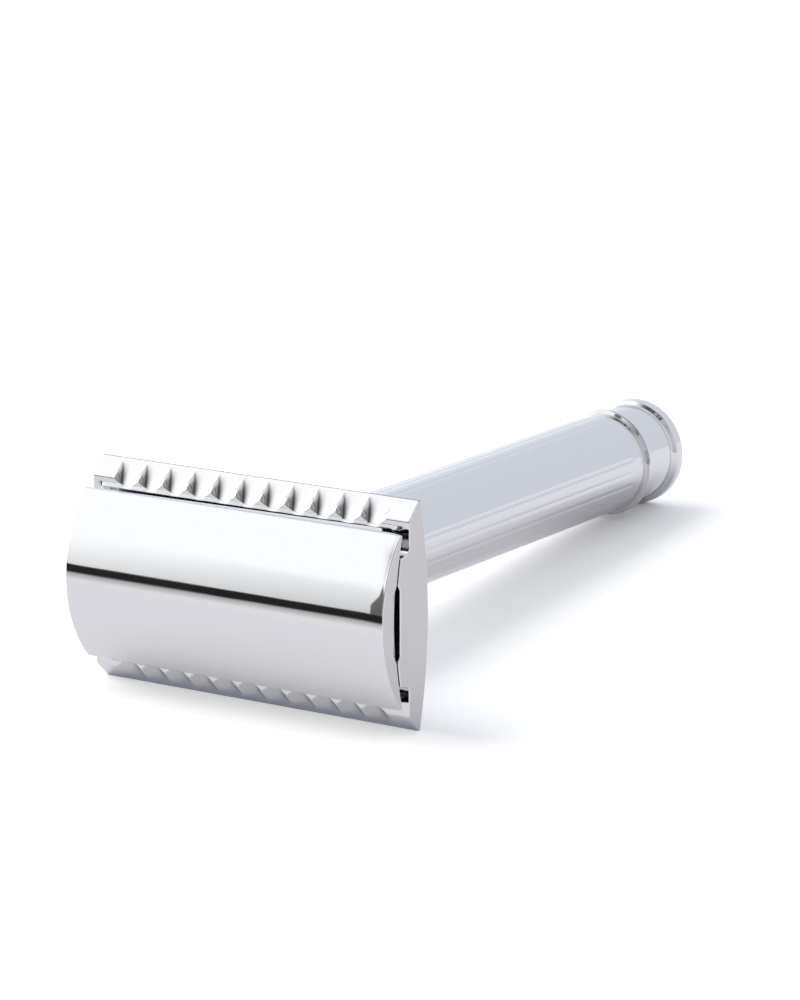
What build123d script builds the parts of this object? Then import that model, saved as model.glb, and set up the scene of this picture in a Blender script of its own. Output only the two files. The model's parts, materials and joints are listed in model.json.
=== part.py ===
from build123d import *
import os
from math import asin, atan2, cos, degrees, hypot, radians, sin, sqrt

# Three-piece double-edge safety razor: a curved cap with its stud and two posts,
# a blade, a base plate with scalloped safety bars, and a handle built on a tube.
#
# It lies on its lower safety bar and on the rim of its knob, with +Z up. X runs
# along the head, the cap faces -Y and the handle runs towards +Y. The origin is
# on the floor, at the middle of the footprint.
#
# The pieces are drawn in the razor's own directions: x along the head, u across
# it, and z along the handle, towards the cap. z = 0 is near the bars' outer edge.

os.makedirs("parts", exist_ok=True)

# --- Driving dimensions, in millimetres and degrees ---------------------------

# Blade: the standard double-edge size, bent over the base plate's bed
blade_length = 43.0         # over the two end tabs
blade_width = 22.0          # flat, from edge to edge
blade_thickness = 0.1
tab_length = 2.7            # each end tab, past the cutting edges
tab_width = 17.4            # across the end tabs, bent
hone_width = 0.45           # each side's ground bevel
bend_radius = 34.0          # of the blade's middle surface
blade_crown = 4.58          # level of that surface on the centre line
blade_play = 0.03           # between the blade and what holds it
slot_width = 2.6
slot_clearance = 0.6        # around the stud and the posts

# Head: what the cap and the base plate share
tab_cover = 0.2             # the head's ends stand past the blade's tabs
head_length = blade_length + 2 * tab_cover

# Cap
cap_width = 20.1
cap_crown = 7.6             # level of the top, on the centre line
cap_edge_level = 3.65       # level where the crown's curve ends
pocket_ceiling = 4.98       # hollow under the cap, along the head
pocket_width = 6.8          # at the ceiling
pocket_mouth = 8.9          # where it opens

# Base plate
bar_width = 26.5            # over the two safety bars
bar_nose_radius = 0.25      # rounded outer edge of a bar
bar_nose_level = -0.1
bar_slope = 45.3            # of the bar's face against u
land_level = 1.95           # flat between a bar and the bed
belly_level = -1.95         # lowest line of the curved underside
bed_width = 12.6
channel_radius = 0.8        # where the bed's wall meets the land
wall_lean = 0.35            # the wall's foot stands out by this
recess_level = 3.8
recess_width = 7.5
recess_mouth = 8.8
boss_radius = 4.9           # round seat for the handle, under the plate
boss_height = 0.45

# Scallops across the safety bars
scallop_pitch = 3.39
scallop_depth = 0.57        # square to the bar's face, at its inner edge
scallop_outlet = 0.1        # the same, at the bar's nose
scallop_ridge = 0.06        # flat left between two scallops
scallop_margin = 2.4        # plain bar left at each end of the head
scallop_run_in = 1.1        # the cutter starts this far above the inner edge
scallop_run_out = 0.35      # and ends this far past the nose
scallop_clearance = 1.5     # height of the cutter over the bar's face

# Stud and posts
stud_radius = 2.45          # M5, 0.8 mm pitch
stud_root = 1.5             # length pressed into the cap
stud_engagement = 6.4       # thread length in the neck collar: eight turns
stud_point = 0.6            # chamfer at the stud's tip
post_radius = 1.5
post_inset = 5.9            # from the blade's ends
post_root = 1.0
post_stop = 0.6             # post tips end this far above the belly line
post_point = 0.4
slide_gap = 0.07            # stud and posts in the plate's holes
thread_gap = 0.05           # stud in the collar's thread
running_gap = 0.05          # the turning seat between head and handle

# Neck collar
flange_radius = 4.7
flange_height = 0.9
flange_break = 0.2
waist_radius = 3.9
neck_length = 10.3          # seat to shoulder
shoulder_radius = 6.2
shoulder_height = 0.7
bore_run_out = 1.5          # free depth below the stud's tip
bore_web = 1.2              # metal between the two threaded holes
spigot_radius = 4.98
spigot_length = 5.8
seat_gap = 0.02             # radial, for pieces that are glued or clamped

# Handle
grip_radius = 6.35
grip_length = 62.4
line_count = 24             # engraved lines along the grip
line_width = 0.32
line_depth = 0.14
line_margin = 1.6           # plain grip left at each end
ring_radius = 6.8
ring_width = 1.7
seal_radius = 6.25
seal_thickness = 0.4

# Knob
knob_length = 8.1
knob_front_radius = 6.66
knob_neck_radius = 6.56
rim_radius = 6.86
rim_width = 1.9
rim_rounding = 0.9
front_rounding = 0.25
disc_radius = 5.2
disc_thickness = 1.1
disc_break = 0.15
disc_seat = 0.01

# Tie rod, washer and nut: M4
rod_radius = 2.0
rod_point = 0.4
rod_end = 0.3               # rod that stands past the nut
washer_radius = 4.2
washer_thickness = 0.5
nut_across_flats = 7.0
nut_thickness = 2.2
nut_clearance = 0.5         # around and behind the nut

# --- Lengths and levels that follow from these ---------------------------------

cutting_edge_length = blade_length - 2 * tab_length
post_spacing = blade_length - 2 * post_inset
seat_level = belly_level - boss_height
collar_top = seat_level - running_gap
shoulder_level = collar_top - neck_length
grip_top = shoulder_level - seal_thickness - ring_width
grip_end = grip_top - grip_length
knob_top = grip_end - ring_width - seal_thickness
knob_end = knob_top - knob_length
stud_tip = collar_top - stud_engagement
bore_floor = stud_tip - bore_run_out
rod_top = bore_floor - bore_web
disc_level = knob_end + disc_thickness
cavity_level = disc_level + nut_clearance + rod_end + nut_thickness + washer_thickness
nut_top = cavity_level - washer_thickness
rod_tip = nut_top - nut_thickness - rod_end
cavity_radius = nut_across_flats / sqrt(3) + nut_clearance
tube_bore = spigot_radius + seat_gap


def on_circle(centre, radius, turn):
    """Point on a circle, turned from +z towards +u, in degrees."""
    return (centre[0] + radius * sin(radians(turn)), centre[1] + radius * cos(radians(turn)))


def turn_to(across, radius):
    """Turn at which a circle centred on the centre line is this far across."""
    return degrees(asin(across / radius))


# --- Outlines that several pieces share ----------------------------------------

# The bent blade, the bed below it and the cap's underside are concentric
bend_centre = (0, blade_crown - bend_radius)
bed_radius = bend_radius - blade_thickness / 2 - blade_play
underside_radius = bend_radius + blade_thickness / 2 + blade_play

# Crown of the cap: one arc through both edges and the top
crown_rise = cap_crown - cap_edge_level
crown_radius = ((cap_width / 2) ** 2 + crown_rise**2) / (2 * crown_rise)
crown_centre = (0, cap_crown - crown_radius)

# Nose of a safety bar, and the belly's arc, which runs into it without a corner
nose = (bar_width / 2 - bar_nose_radius, bar_nose_level)
nose_lift = bar_nose_level - belly_level
belly_radius = (nose[0] ** 2 + nose_lift**2 - bar_nose_radius**2) / (2 * (nose_lift - bar_nose_radius))
belly_centre = (0, belly_level + belly_radius)
belly_turn = turn_to(nose[0], belly_radius - bar_nose_radius)
nose_shoulder = on_circle(nose, bar_nose_radius, bar_slope)
bar_run = (land_level - nose_shoulder[1]) / sin(radians(bar_slope))
bar_edge = (nose_shoulder[0] - bar_run * cos(radians(bar_slope)), land_level)

# --- How the razor lies --------------------------------------------------------

# The lower bar's nose and the knob's rim both touch the floor. Each is round
# there, so the tilt follows from two circles that share a tangent.
rim_centre = (rim_radius - rim_rounding, knob_end + rim_rounding)
level_difference = nose[1] - rim_centre[1]
drop_difference = rim_centre[0] - nose[0]
tilt = asin((bar_nose_radius - rim_rounding) / hypot(level_difference, drop_difference)) - atan2(
    drop_difference, level_difference
)
axis_height = bar_nose_radius + nose[0] * cos(tilt) - nose[1] * sin(tilt)
front = -crown_centre[1] * cos(tilt) - crown_radius
back = rim_centre[0] * sin(tilt) - rim_centre[1] * cos(tilt) + rim_rounding
origin = Vector(0, -(front + back) / 2, axis_height)

head_way = Vector(1, 0, 0)
up_way = Vector(0, sin(tilt), cos(tilt))
handle_way = Vector(0, -cos(tilt), sin(tilt))

across = Plane(origin=origin, x_dir=up_way, z_dir=head_way)                 # draws (u, z)
turning = Plane(origin=origin, x_dir=head_way, z_dir=head_way.cross(handle_way))  # draws (r, z)
facing = Plane(origin=origin, x_dir=head_way, z_dir=handle_way)             # draws (x, u)
handle_axis = Axis(origin, handle_way)
both_posts = [(-post_spacing / 2, 0), (post_spacing / 2, 0)]

# --- Cap: solid metal, polished crown, hollow along its underside --------------

with BuildPart() as cap:
    underside_edge = on_circle(bend_centre, underside_radius, turn_to(cap_width / 2, underside_radius))
    underside_mouth = on_circle(bend_centre, underside_radius, turn_to(pocket_mouth / 2, underside_radius))
    underside_mid = on_circle(
        bend_centre, underside_radius, turn_to((cap_width + pocket_mouth) / 4, underside_radius)
    )
    crown_mid = on_circle(crown_centre, crown_radius, turn_to(cap_width / 4, crown_radius))
    with BuildSketch(across):
        with BuildLine():
            Line((0, pocket_ceiling), (0, cap_crown))
            ThreePointArc((0, cap_crown), crown_mid, (cap_width / 2, cap_edge_level))
            Line((cap_width / 2, cap_edge_level), underside_edge)
            ThreePointArc(underside_edge, underside_mid, underside_mouth)
            Polyline(underside_mouth, (pocket_width / 2, pocket_ceiling), (0, pocket_ceiling))
        make_face()
        mirror(about=Plane.YZ)
    extrude(amount=head_length / 2, both=True)
    with BuildSketch(facing.offset(pocket_ceiling)):
        Circle(stud_radius + seat_gap)
    extrude(amount=stud_root + seat_gap, mode=Mode.SUBTRACT)
    with BuildSketch(facing.offset(pocket_ceiling)):
        with Locations(both_posts):
            Circle(post_radius + seat_gap)
    extrude(amount=post_root + seat_gap, mode=Mode.SUBTRACT)

cap.part.label = "cap"
export_step(cap.part, "parts/cap.step")

# --- Stud: steel screw, pressed into the cap, its tip chamfered ------------------

with BuildPart() as cap_stud:
    with BuildSketch(facing.offset(stud_tip)):
        Circle(stud_radius)
    extrude(amount=pocket_ceiling + stud_root - stud_tip)
    chamfer(cap_stud.edges().sort_by(handle_axis)[0], stud_point)

cap_stud.part.label = "cap_stud"
export_step(cap_stud.part, "parts/cap_stud.step")

# --- Posts: two plain pins that hold the blade and the base plate square ---------

post_tip = belly_level + post_stop
for side, place in zip(("left", "right"), both_posts):
    with BuildPart() as post:
        with BuildSketch(facing.offset(post_tip)):
            with Locations(place):
                Circle(post_radius)
        extrude(amount=pocket_ceiling + post_root - post_tip)
        chamfer(post.edges().sort_by(handle_axis)[0], post_point)
    post.part.label = f"locating_post_{side}"
    export_step(post.part, f"parts/locating_post_{side}.step")

# --- Blade: thin strip bent to the bed, ground along both edges ------------------

with BuildPart() as blade:
    edge_turn = degrees(blade_width / 2 / bend_radius)
    hone_turn = degrees((blade_width / 2 - hone_width) / bend_radius)
    skin_radius = bend_radius + blade_thickness / 2
    belly_skin_radius = bend_radius - blade_thickness / 2
    with BuildSketch(across):
        with BuildLine():
            ThreePointArc(
                on_circle(bend_centre, skin_radius, -hone_turn),
                on_circle(bend_centre, skin_radius, 0),
                on_circle(bend_centre, skin_radius, hone_turn),
            )
            Polyline(
                on_circle(bend_centre, skin_radius, hone_turn),
                on_circle(bend_centre, bend_radius, edge_turn),
                on_circle(bend_centre, belly_skin_radius, hone_turn),
            )
            ThreePointArc(
                on_circle(bend_centre, belly_skin_radius, hone_turn),
                on_circle(bend_centre, belly_skin_radius, 0),
                on_circle(bend_centre, belly_skin_radius, -hone_turn),
            )
            Polyline(
                on_circle(bend_centre, belly_skin_radius, -hone_turn),
                on_circle(bend_centre, bend_radius, -edge_turn),
                on_circle(bend_centre, skin_radius, -hone_turn),
            )
        make_face()
    extrude(amount=blade_length / 2, both=True)
    with BuildSketch(facing):
        Rectangle(cutting_edge_length, blade_width)
        Rectangle(blade_length, tab_width)
        SlotCenterToCenter(post_spacing, slot_width, mode=Mode.SUBTRACT)
        Circle(stud_radius + slot_clearance, mode=Mode.SUBTRACT)
        with Locations(both_posts):
            Circle(post_radius + slot_clearance, mode=Mode.SUBTRACT)
    extrude(amount=cap_crown, mode=Mode.INTERSECT)

blade.part.label = "blade"
export_step(blade.part, "parts/blade.step")

# --- Base plate: safety bars, lands, raised bed with a recess along it -----------

with BuildPart() as base_plate:
    bed_corner = on_circle(bend_centre, bed_radius, turn_to(bed_width / 2, bed_radius))
    bed_mouth = on_circle(bend_centre, bed_radius, turn_to(recess_mouth / 2, bed_radius))
    bed_mid = on_circle(bend_centre, bed_radius, turn_to((bed_width + recess_mouth) / 4, bed_radius))
    nose_foot = on_circle(nose, bar_nose_radius, 180 - belly_turn)
    wall_foot = (bed_width / 2 + wall_lean, land_level)
    with BuildSketch(across):
        with BuildLine():
            Line((0, recess_level), (0, belly_level))
            ThreePointArc(
                (0, belly_level), on_circle(belly_centre, belly_radius, 180 - belly_turn / 2), nose_foot
            )
            ThreePointArc(nose_foot, on_circle(nose, bar_nose_radius, 90), nose_shoulder)
            Line(nose_shoulder, bar_edge)
            FilletPolyline(bar_edge, wall_foot, bed_corner, radius=channel_radius)
            ThreePointArc(bed_corner, bed_mid, bed_mouth)
            Polyline(bed_mouth, (recess_width / 2, recess_level), (0, recess_level))
        make_face()
        mirror(about=Plane.YZ)
    extrude(amount=head_length / 2, both=True)

    # Each scallop is a trough as wide as the pitch all the way, deep at the bar's
    # inner edge and almost level at its nose. Its cutter joins two arcs by lines.
    scallops_each_way = int((head_length / 2 - scallop_margin) / scallop_pitch - 0.5)
    scallop_taper = (scallop_depth - scallop_outlet) / bar_run
    half_mouth = (scallop_pitch - scallop_ridge) / 2
    for side in (1, -1):
        inner_edge = across.from_local_coords(Vector(side * bar_edge[0], bar_edge[1], 0))
        bar_normal = side * up_way * sin(radians(bar_slope)) + handle_way * cos(radians(bar_slope))
        cutter_plane = Plane(origin=inner_edge, x_dir=head_way, z_dir=head_way.cross(bar_normal))
        with BuildPart(mode=Mode.PRIVATE) as cutter:
            for run in (-scallop_run_in, bar_run + scallop_run_out):
                sagitta = scallop_depth - scallop_taper * run
                with BuildSketch(cutter_plane.offset(-side * run)):
                    with BuildLine():
                        ThreePointArc((-half_mouth, 0), (0, -sagitta), (half_mouth, 0))
                        Polyline(
                            (half_mouth, 0),
                            (half_mouth, scallop_clearance),
                            (-half_mouth, scallop_clearance),
                            (-half_mouth, 0),
                        )
                    make_face()
            loft(ruled=True)
        for place in range(-scallops_each_way, scallops_each_way + 1):
            add(cutter.part.moved(Location(head_way * (place * scallop_pitch))), mode=Mode.SUBTRACT)

    with BuildSketch(facing.offset(seat_level)):
        Circle(boss_radius)
    extrude(amount=recess_level - seat_level)
    with BuildSketch(facing.offset(seat_level)):
        Circle(stud_radius + slide_gap)
        with Locations(both_posts):
            Circle(post_radius + slide_gap)
    extrude(amount=cap_crown - seat_level, mode=Mode.SUBTRACT)

base_plate.part.label = "base_plate"
export_step(base_plate.part, "parts/base_plate.step")

# --- Neck collar: turned, threaded from both ends, with a waist ------------------

with BuildPart() as neck_collar:
    waist_top = collar_top - flange_height
    waist_end = shoulder_level + shoulder_height
    spigot_end = shoulder_level - spigot_length
    with BuildSketch(turning):
        with BuildLine():
            Polyline(
                (flange_radius, waist_top),
                (flange_radius, collar_top - flange_break),
                (flange_radius - flange_break, collar_top),
                (stud_radius + thread_gap, collar_top),
                (stud_radius + thread_gap, bore_floor),
                (0, bore_floor),
                (0, rod_top),
                (rod_radius + seat_gap, rod_top),
                (rod_radius + seat_gap, spigot_end),
                (spigot_radius, spigot_end),
                (spigot_radius, shoulder_level),
                (shoulder_radius, shoulder_level),
                (shoulder_radius, waist_end),
            )
            ThreePointArc(
                (shoulder_radius, waist_end),
                (waist_radius, (2 * waist_top + waist_end) / 3),
                (flange_radius, waist_top),
            )
        make_face()
    revolve(axis=handle_axis)

neck_collar.part.label = "neck_collar"
export_step(neck_collar.part, "parts/neck_collar.step")

# --- Seals and trim rings: one pair at each end of the grip ----------------------

for end, seal_top in (("front", shoulder_level), ("rear", grip_end - ring_width)):
    with BuildPart() as seal:
        with BuildSketch(facing.offset(seal_top)):
            Circle(seal_radius)
            Circle(tube_bore, mode=Mode.SUBTRACT)
        extrude(amount=-seal_thickness)
    seal.part.label = f"{end}_seal"
    export_step(seal.part, f"parts/{end}_seal.step")

for end, ring_top in (("front", grip_top + ring_width), ("rear", grip_end)):
    with BuildPart() as ring:
        shoulder = min(grip_radius, seal_radius)
        with BuildSketch(turning):
            with BuildLine():
                Polyline(
                    (shoulder, ring_top),
                    (tube_bore, ring_top),
                    (tube_bore, ring_top - ring_width),
                    (shoulder, ring_top - ring_width),
                )
                ThreePointArc(
                    (shoulder, ring_top - ring_width),
                    (ring_radius, ring_top - ring_width / 2),
                    (shoulder, ring_top),
                )
            make_face()
        revolve(axis=handle_axis)
    ring.part.label = f"{end}_ring"
    export_step(ring.part, f"parts/{end}_ring.step")

# --- Grip: brass tube, engraved with fine lines along it --------------------------

with BuildPart() as grip_tube:
    with BuildSketch(facing.offset(grip_end)):
        Circle(grip_radius)
        Circle(tube_bore, mode=Mode.SUBTRACT)
    extrude(amount=grip_length)
    with BuildSketch(facing.offset(grip_end + line_margin)):
        with PolarLocations(grip_radius + line_width / 2 - line_depth, line_count, start_angle=90):
            Circle(line_width / 2)
    extrude(amount=grip_length - 2 * line_margin, mode=Mode.SUBTRACT)

grip_tube.part.label = "grip_tube"
export_step(grip_tube.part, "parts/grip_tube.step")

# --- End knob: turned, a shallow waist and a rounded rim --------------------------

with BuildPart() as end_knob:
    rim_top = knob_end + rim_width
    with BuildSketch(turning):
        with BuildLine():
            Polyline(
                (knob_front_radius - front_rounding, knob_top),
                (spigot_radius, knob_top),
                (spigot_radius, knob_top + spigot_length),
                (rod_radius + seat_gap, knob_top + spigot_length),
                (rod_radius + seat_gap, cavity_level),
                (cavity_radius, cavity_level),
                (cavity_radius, disc_level),
                (disc_radius + disc_seat, disc_level),
                (disc_radius + disc_seat, knob_end),
                (rim_centre[0], knob_end),
            )
            ThreePointArc(
                (rim_centre[0], knob_end),
                on_circle(rim_centre, rim_rounding, 135),
                (rim_radius, rim_centre[1]),
            )
            Line((rim_radius, rim_centre[1]), (rim_radius, rim_top))
            ThreePointArc(
                (rim_radius, rim_top),
                (knob_neck_radius, (rim_top + knob_top) / 2),
                (knob_front_radius, knob_top - front_rounding),
            )
            ThreePointArc(
                (knob_front_radius, knob_top - front_rounding),
                on_circle((knob_front_radius - front_rounding, knob_top - front_rounding), front_rounding, 45),
                (knob_front_radius - front_rounding, knob_top),
            )
        make_face()
    revolve(axis=handle_axis)

end_knob.part.label = "end_knob"
export_step(end_knob.part, "parts/end_knob.step")

# --- Tie rod, washer and nut: they clamp the tube between collar and knob ----------

with BuildPart() as tie_rod:
    with BuildSketch(facing.offset(rod_tip)):
        Circle(rod_radius)
    extrude(amount=rod_top - rod_tip)
    chamfer(tie_rod.edges().filter_by(GeomType.CIRCLE), rod_point)

tie_rod.part.label = "tie_rod"
export_step(tie_rod.part, "parts/tie_rod.step")

with BuildPart() as tie_washer:
    with BuildSketch(facing.offset(nut_top)):
        Circle(washer_radius)
        Circle(rod_radius + seat_gap, mode=Mode.SUBTRACT)
    extrude(amount=washer_thickness)

tie_washer.part.label = "tie_washer"
export_step(tie_washer.part, "parts/tie_washer.step")

with BuildPart() as tie_nut:
    with BuildSketch(facing.offset(nut_top - nut_thickness)):
        RegularPolygon(nut_across_flats / 2, 6, major_radius=False)
        Circle(rod_radius + seat_gap, mode=Mode.SUBTRACT)
    extrude(amount=nut_thickness)

tie_nut.part.label = "tie_nut"
export_step(tie_nut.part, "parts/tie_nut.step")

# --- End disc: closes the knob and hides the nut -----------------------------------

with BuildPart() as end_disc:
    with BuildSketch(facing.offset(knob_end)):
        Circle(disc_radius)
    extrude(amount=disc_thickness)
    chamfer(end_disc.edges().sort_by(handle_axis)[0], disc_break)

end_disc.part.label = "end_disc"
export_step(end_disc.part, "parts/end_disc.step")

print(f"tilt {degrees(tilt):.3f} deg, origin of the razor's axis {tuple(round(v, 4) for v in origin)}")
print(f"handle way {tuple(round(v, 6) for v in handle_way)}")
print(f"knob end level {knob_end:.3f}, neck waist level {(2 * waist_top + waist_end) / 3:.3f}")
print(f"cap travel over the thread {stud_engagement} mm, belly radius {belly_radius:.2f}")
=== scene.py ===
import json
import math

import bmesh
import bpy
import numpy as np
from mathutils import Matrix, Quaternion, Vector


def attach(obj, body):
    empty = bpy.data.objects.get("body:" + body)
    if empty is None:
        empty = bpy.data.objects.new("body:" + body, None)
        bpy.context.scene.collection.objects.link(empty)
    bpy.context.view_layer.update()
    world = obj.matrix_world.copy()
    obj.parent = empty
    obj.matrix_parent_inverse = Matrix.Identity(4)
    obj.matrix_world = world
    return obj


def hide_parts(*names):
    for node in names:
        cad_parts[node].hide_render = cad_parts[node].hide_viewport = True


# A three-piece safety razor in polished chrome, lying on its lower safety bar and the rim of its knob.
# The sections follow its assembly: the room, the head from the cap down, then the handle from neck to knob.
# Sizes are in millimetres in the razor's own directions: x along the head, u across it, z along the handle.

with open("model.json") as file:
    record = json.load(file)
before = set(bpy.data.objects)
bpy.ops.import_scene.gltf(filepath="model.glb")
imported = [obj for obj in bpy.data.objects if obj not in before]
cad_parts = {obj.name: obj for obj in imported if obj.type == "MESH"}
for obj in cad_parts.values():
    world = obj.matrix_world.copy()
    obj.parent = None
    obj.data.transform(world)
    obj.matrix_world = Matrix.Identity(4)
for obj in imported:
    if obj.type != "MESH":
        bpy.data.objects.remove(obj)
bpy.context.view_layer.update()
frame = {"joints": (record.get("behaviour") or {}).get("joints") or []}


# --- The room: a white table, pale surroundings and one big diffuser ------------------
# The razor lies on a matt white table. A tall diffuser stands in front and to the left, down
# to the table's height, with a gap above the table's front edge that polished metal shows as black.


def colour(code):
    """The linear colour of an sRGB hex code, with full alpha."""
    parts = [int(code[i : i + 2], 16) / 255 for i in (1, 3, 5)]
    return [p / 12.92 if p <= 0.04045 else ((p + 0.055) / 1.055) ** 2.4 for p in parts] + [1.0]


def link(tree, node, inputs):
    """Sets a node's inputs: each takes a value, or a link from a socket or from a node's first output."""
    for name, value in inputs.items():
        if isinstance(value, bpy.types.Node):
            value = value.outputs[0]
        if isinstance(value, bpy.types.NodeSocket):
            tree.links.new(value, node.inputs[name])
        else:
            node.inputs[name].default_value = value


def add(tree, kind, inputs=None, **settings):
    """One shader node, with its own settings and its inputs."""
    made = tree.nodes.new(kind)
    for name, value in settings.items():
        setattr(made, name, value)
    link(tree, made, inputs or {})
    return made


def worked_out(tree, values, rows):
    """The values by name, with those that the rows add. Each row may use any value before it.

    A "STEP" row goes smoothly from one level to another as the value that it names goes from one
    limit to the other: name, "STEP", that value, both limits, both levels. Any other row is one sum:
    name, sum, first term, second term.
    """
    for name, kind, *terms in rows:
        inputs = {place: values.get(term, term) for place, term in enumerate(terms)}
        if kind == "STEP":
            values[name] = add(tree, "ShaderNodeMapRange", inputs, interpolation_type="SMOOTHSTEP")
        else:
            values[name] = add(tree, "ShaderNodeMath", inputs, operation=kind)
    return values


scene = bpy.context.scene
scene.view_settings.view_transform = "Standard"

camera = bpy.data.objects.new("camera", bpy.data.cameras.new("camera"))
scene.collection.objects.link(camera)
scene.camera = camera
camera.data.lens = 151.95
camera.data.clip_start = 0.01
camera_turn, camera_fall, camera_roll = (math.radians(angle) for angle in (123.372, 16.839, -2.375))
camera_distance = 0.48
aim = Vector((0.01258, -0.02903, 0.02255))
sight = Vector(
    (
        math.cos(camera_turn) * math.cos(camera_fall),
        math.sin(camera_turn) * math.cos(camera_fall),
        -math.sin(camera_fall),
    )
)
camera.location = aim - sight * camera_distance
camera.rotation_mode = "QUATERNION"
camera.rotation_quaternion = sight.to_track_quat("-Z", "Y") @ Quaternion((0, 0, 1), camera_roll)

table_half = 3.0
table_corners = [(x * table_half, y * table_half, 0) for x, y in ((-1, -1), (1, -1), (1, 1), (-1, 1))]
table_top = bpy.data.meshes.new("table_top")
table_top.from_pydata(table_corners, [], [(0, 1, 2, 3)])
table = bpy.data.objects.new("table_top", table_top)
scene.collection.objects.link(table)

# White laminate, matt. Seen directly or in the metal it is a little paler than the light that it
# gives back. Seen directly it has a painted pool of light in front of the head: a glow is mixed in
# for the light that the chrome throws down onto it. In the metal it has a painted shade, darker and
# cooler, in a strip where the lower bar touches it. Elsewhere short of the knob, a painted fill glow
# lightens its shadows. Past 50 mm in front of the cap the metal shows the room. Places run along the
# table, from cap to knob, in metres.
laminate = bpy.data.materials.new("white_laminate")
laminate.use_nodes = True
tree = laminate.node_tree
tree.nodes.clear()
spot = add(tree, "ShaderNodeSeparateXYZ", {0: add(tree, "ShaderNodeTexCoord").outputs["Object"]})
rays = add(tree, "ShaderNodeLightPath")
in_metal = rays.outputs["Is Glossy Ray"]
part = worked_out(
    tree,
    {"place": spot.outputs["Y"], "in_metal": in_metal},
    (
        ("past_edge", "STEP", "place", -0.085, -0.105, 0.0, 1.0),
        ("open_beyond", "MULTIPLY", "past_edge", "in_metal"),
        # A painted pool of light in front of the head, seen directly: up to 0.38 of a glow is mixed in.
        ("painted_light_by_head", "STEP", "place", -0.0395, -0.0415, 0.0, 0.38),
        # The strip where the lower bar touches the table: there the floor seen in the metal has a painted
        # shade.
        ("behind_front", "STEP", "place", -0.0424, -0.0412, 0.0, 1.0),
        ("before_back", "STEP", "place", -0.0385, -0.04, 0.0, 1.0),
        ("painted_shade_strip", "MULTIPLY", "behind_front", "before_back"),
        ("off_contact", "SUBTRACT", 1.0, "painted_shade_strip"),
        # Painted fill light: up to 0.27 of a glow lightens the floor's shadows seen in the metal, short of
        # the knob and off the contact strip.
        ("painted_fill_ahead", "STEP", "place", 0.012, 0.034, 0.27, 0.0),
        ("painted_fill_share", "MULTIPLY", "painted_fill_ahead", "off_contact"),
    ),
)
matt = add(tree, "ShaderNodeBsdfDiffuse", {"Color": colour("#f7f7f8")})
pale = add(tree, "ShaderNodeBsdfDiffuse", {"Color": [1.08, 1.08, 1.08, 1.0]})
# A glow of strength 1 mixed into the floor: the painted pool of light in front of the head.
painted_thrown_light = add(tree, "ShaderNodeEmission", {"Color": colour("#ffffff"), "Strength": 1.0})
mirrored = add(tree, "ShaderNodeBsdfDiffuse", {"Color": [0.8, 0.785, 0.8, 1.0]})
# A darker, cooler white: painted shade for the floor seen in the metal where the lower bar touches it.
painted_contact_shade = add(tree, "ShaderNodeBsdfDiffuse", {"Color": [0.74, 0.775, 0.87, 1.0]})
# A glow of strength 1.03 mixed into the floor seen in the metal: painted fill light that lightens its
# shadows.
even = add(tree, "ShaderNodeEmission", {"Color": colour("#fdfbff"), "Strength": 1.03})
beyond = add(tree, "ShaderNodeBsdfTransparent")
pale = add(tree, "ShaderNodeMixShader", {0: part["painted_light_by_head"], 1: pale, 2: painted_thrown_light})
mirrored = add(tree, "ShaderNodeMixShader", {0: part["painted_shade_strip"], 1: mirrored, 2: painted_contact_shade})
mirrored = add(tree, "ShaderNodeMixShader", {0: part["painted_fill_share"], 1: mirrored, 2: even})
seen = add(tree, "ShaderNodeMixShader", {0: rays.outputs["Is Camera Ray"], 1: matt, 2: pale})
seen = add(tree, "ShaderNodeMixShader", {0: in_metal, 1: seen, 2: mirrored})
seen = add(tree, "ShaderNodeMixShader", {0: part["open_beyond"], 1: seen, 2: beyond})
add(tree, "ShaderNodeOutputMaterial", {"Surface": seen})
table_top.materials.append(laminate)

# The key light: high on the left, it throws the handle's shadow to the right.
key = bpy.data.objects.new("key_light", bpy.data.lights.new("key_light", "SUN"))
scene.collection.objects.link(key)
key.data.energy = 1.25
key.data.angle = math.radians(40)
key_from = Vector((-0.62, -0.16, 0.77))
key.rotation_euler = key_from.to_track_quat("Z", "Y").to_euler()
key.visible_glossy = False

world = bpy.data.worlds.new("studio")
scene.world = world
world.use_nodes = True
tree = world.node_tree
tree.nodes.clear()
way = add(tree, "ShaderNodeTexCoord").outputs["Generated"]
parts = add(tree, "ShaderNodeSeparateXYZ", {0: way})

# What stands about in the room makes it uneven, in soft patches a few degrees across.
clutter = add(tree, "ShaderNodeTexNoise", {"Vector": way, "Scale": 14.0, "Detail": 2.0})
unevenness = add(
    tree, "ShaderNodeMapRange",
    {"Value": clutter, "From Min": 0.4, "From Max": 0.62, "To Min": 0.2, "To Max": 1.4},
)

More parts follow.
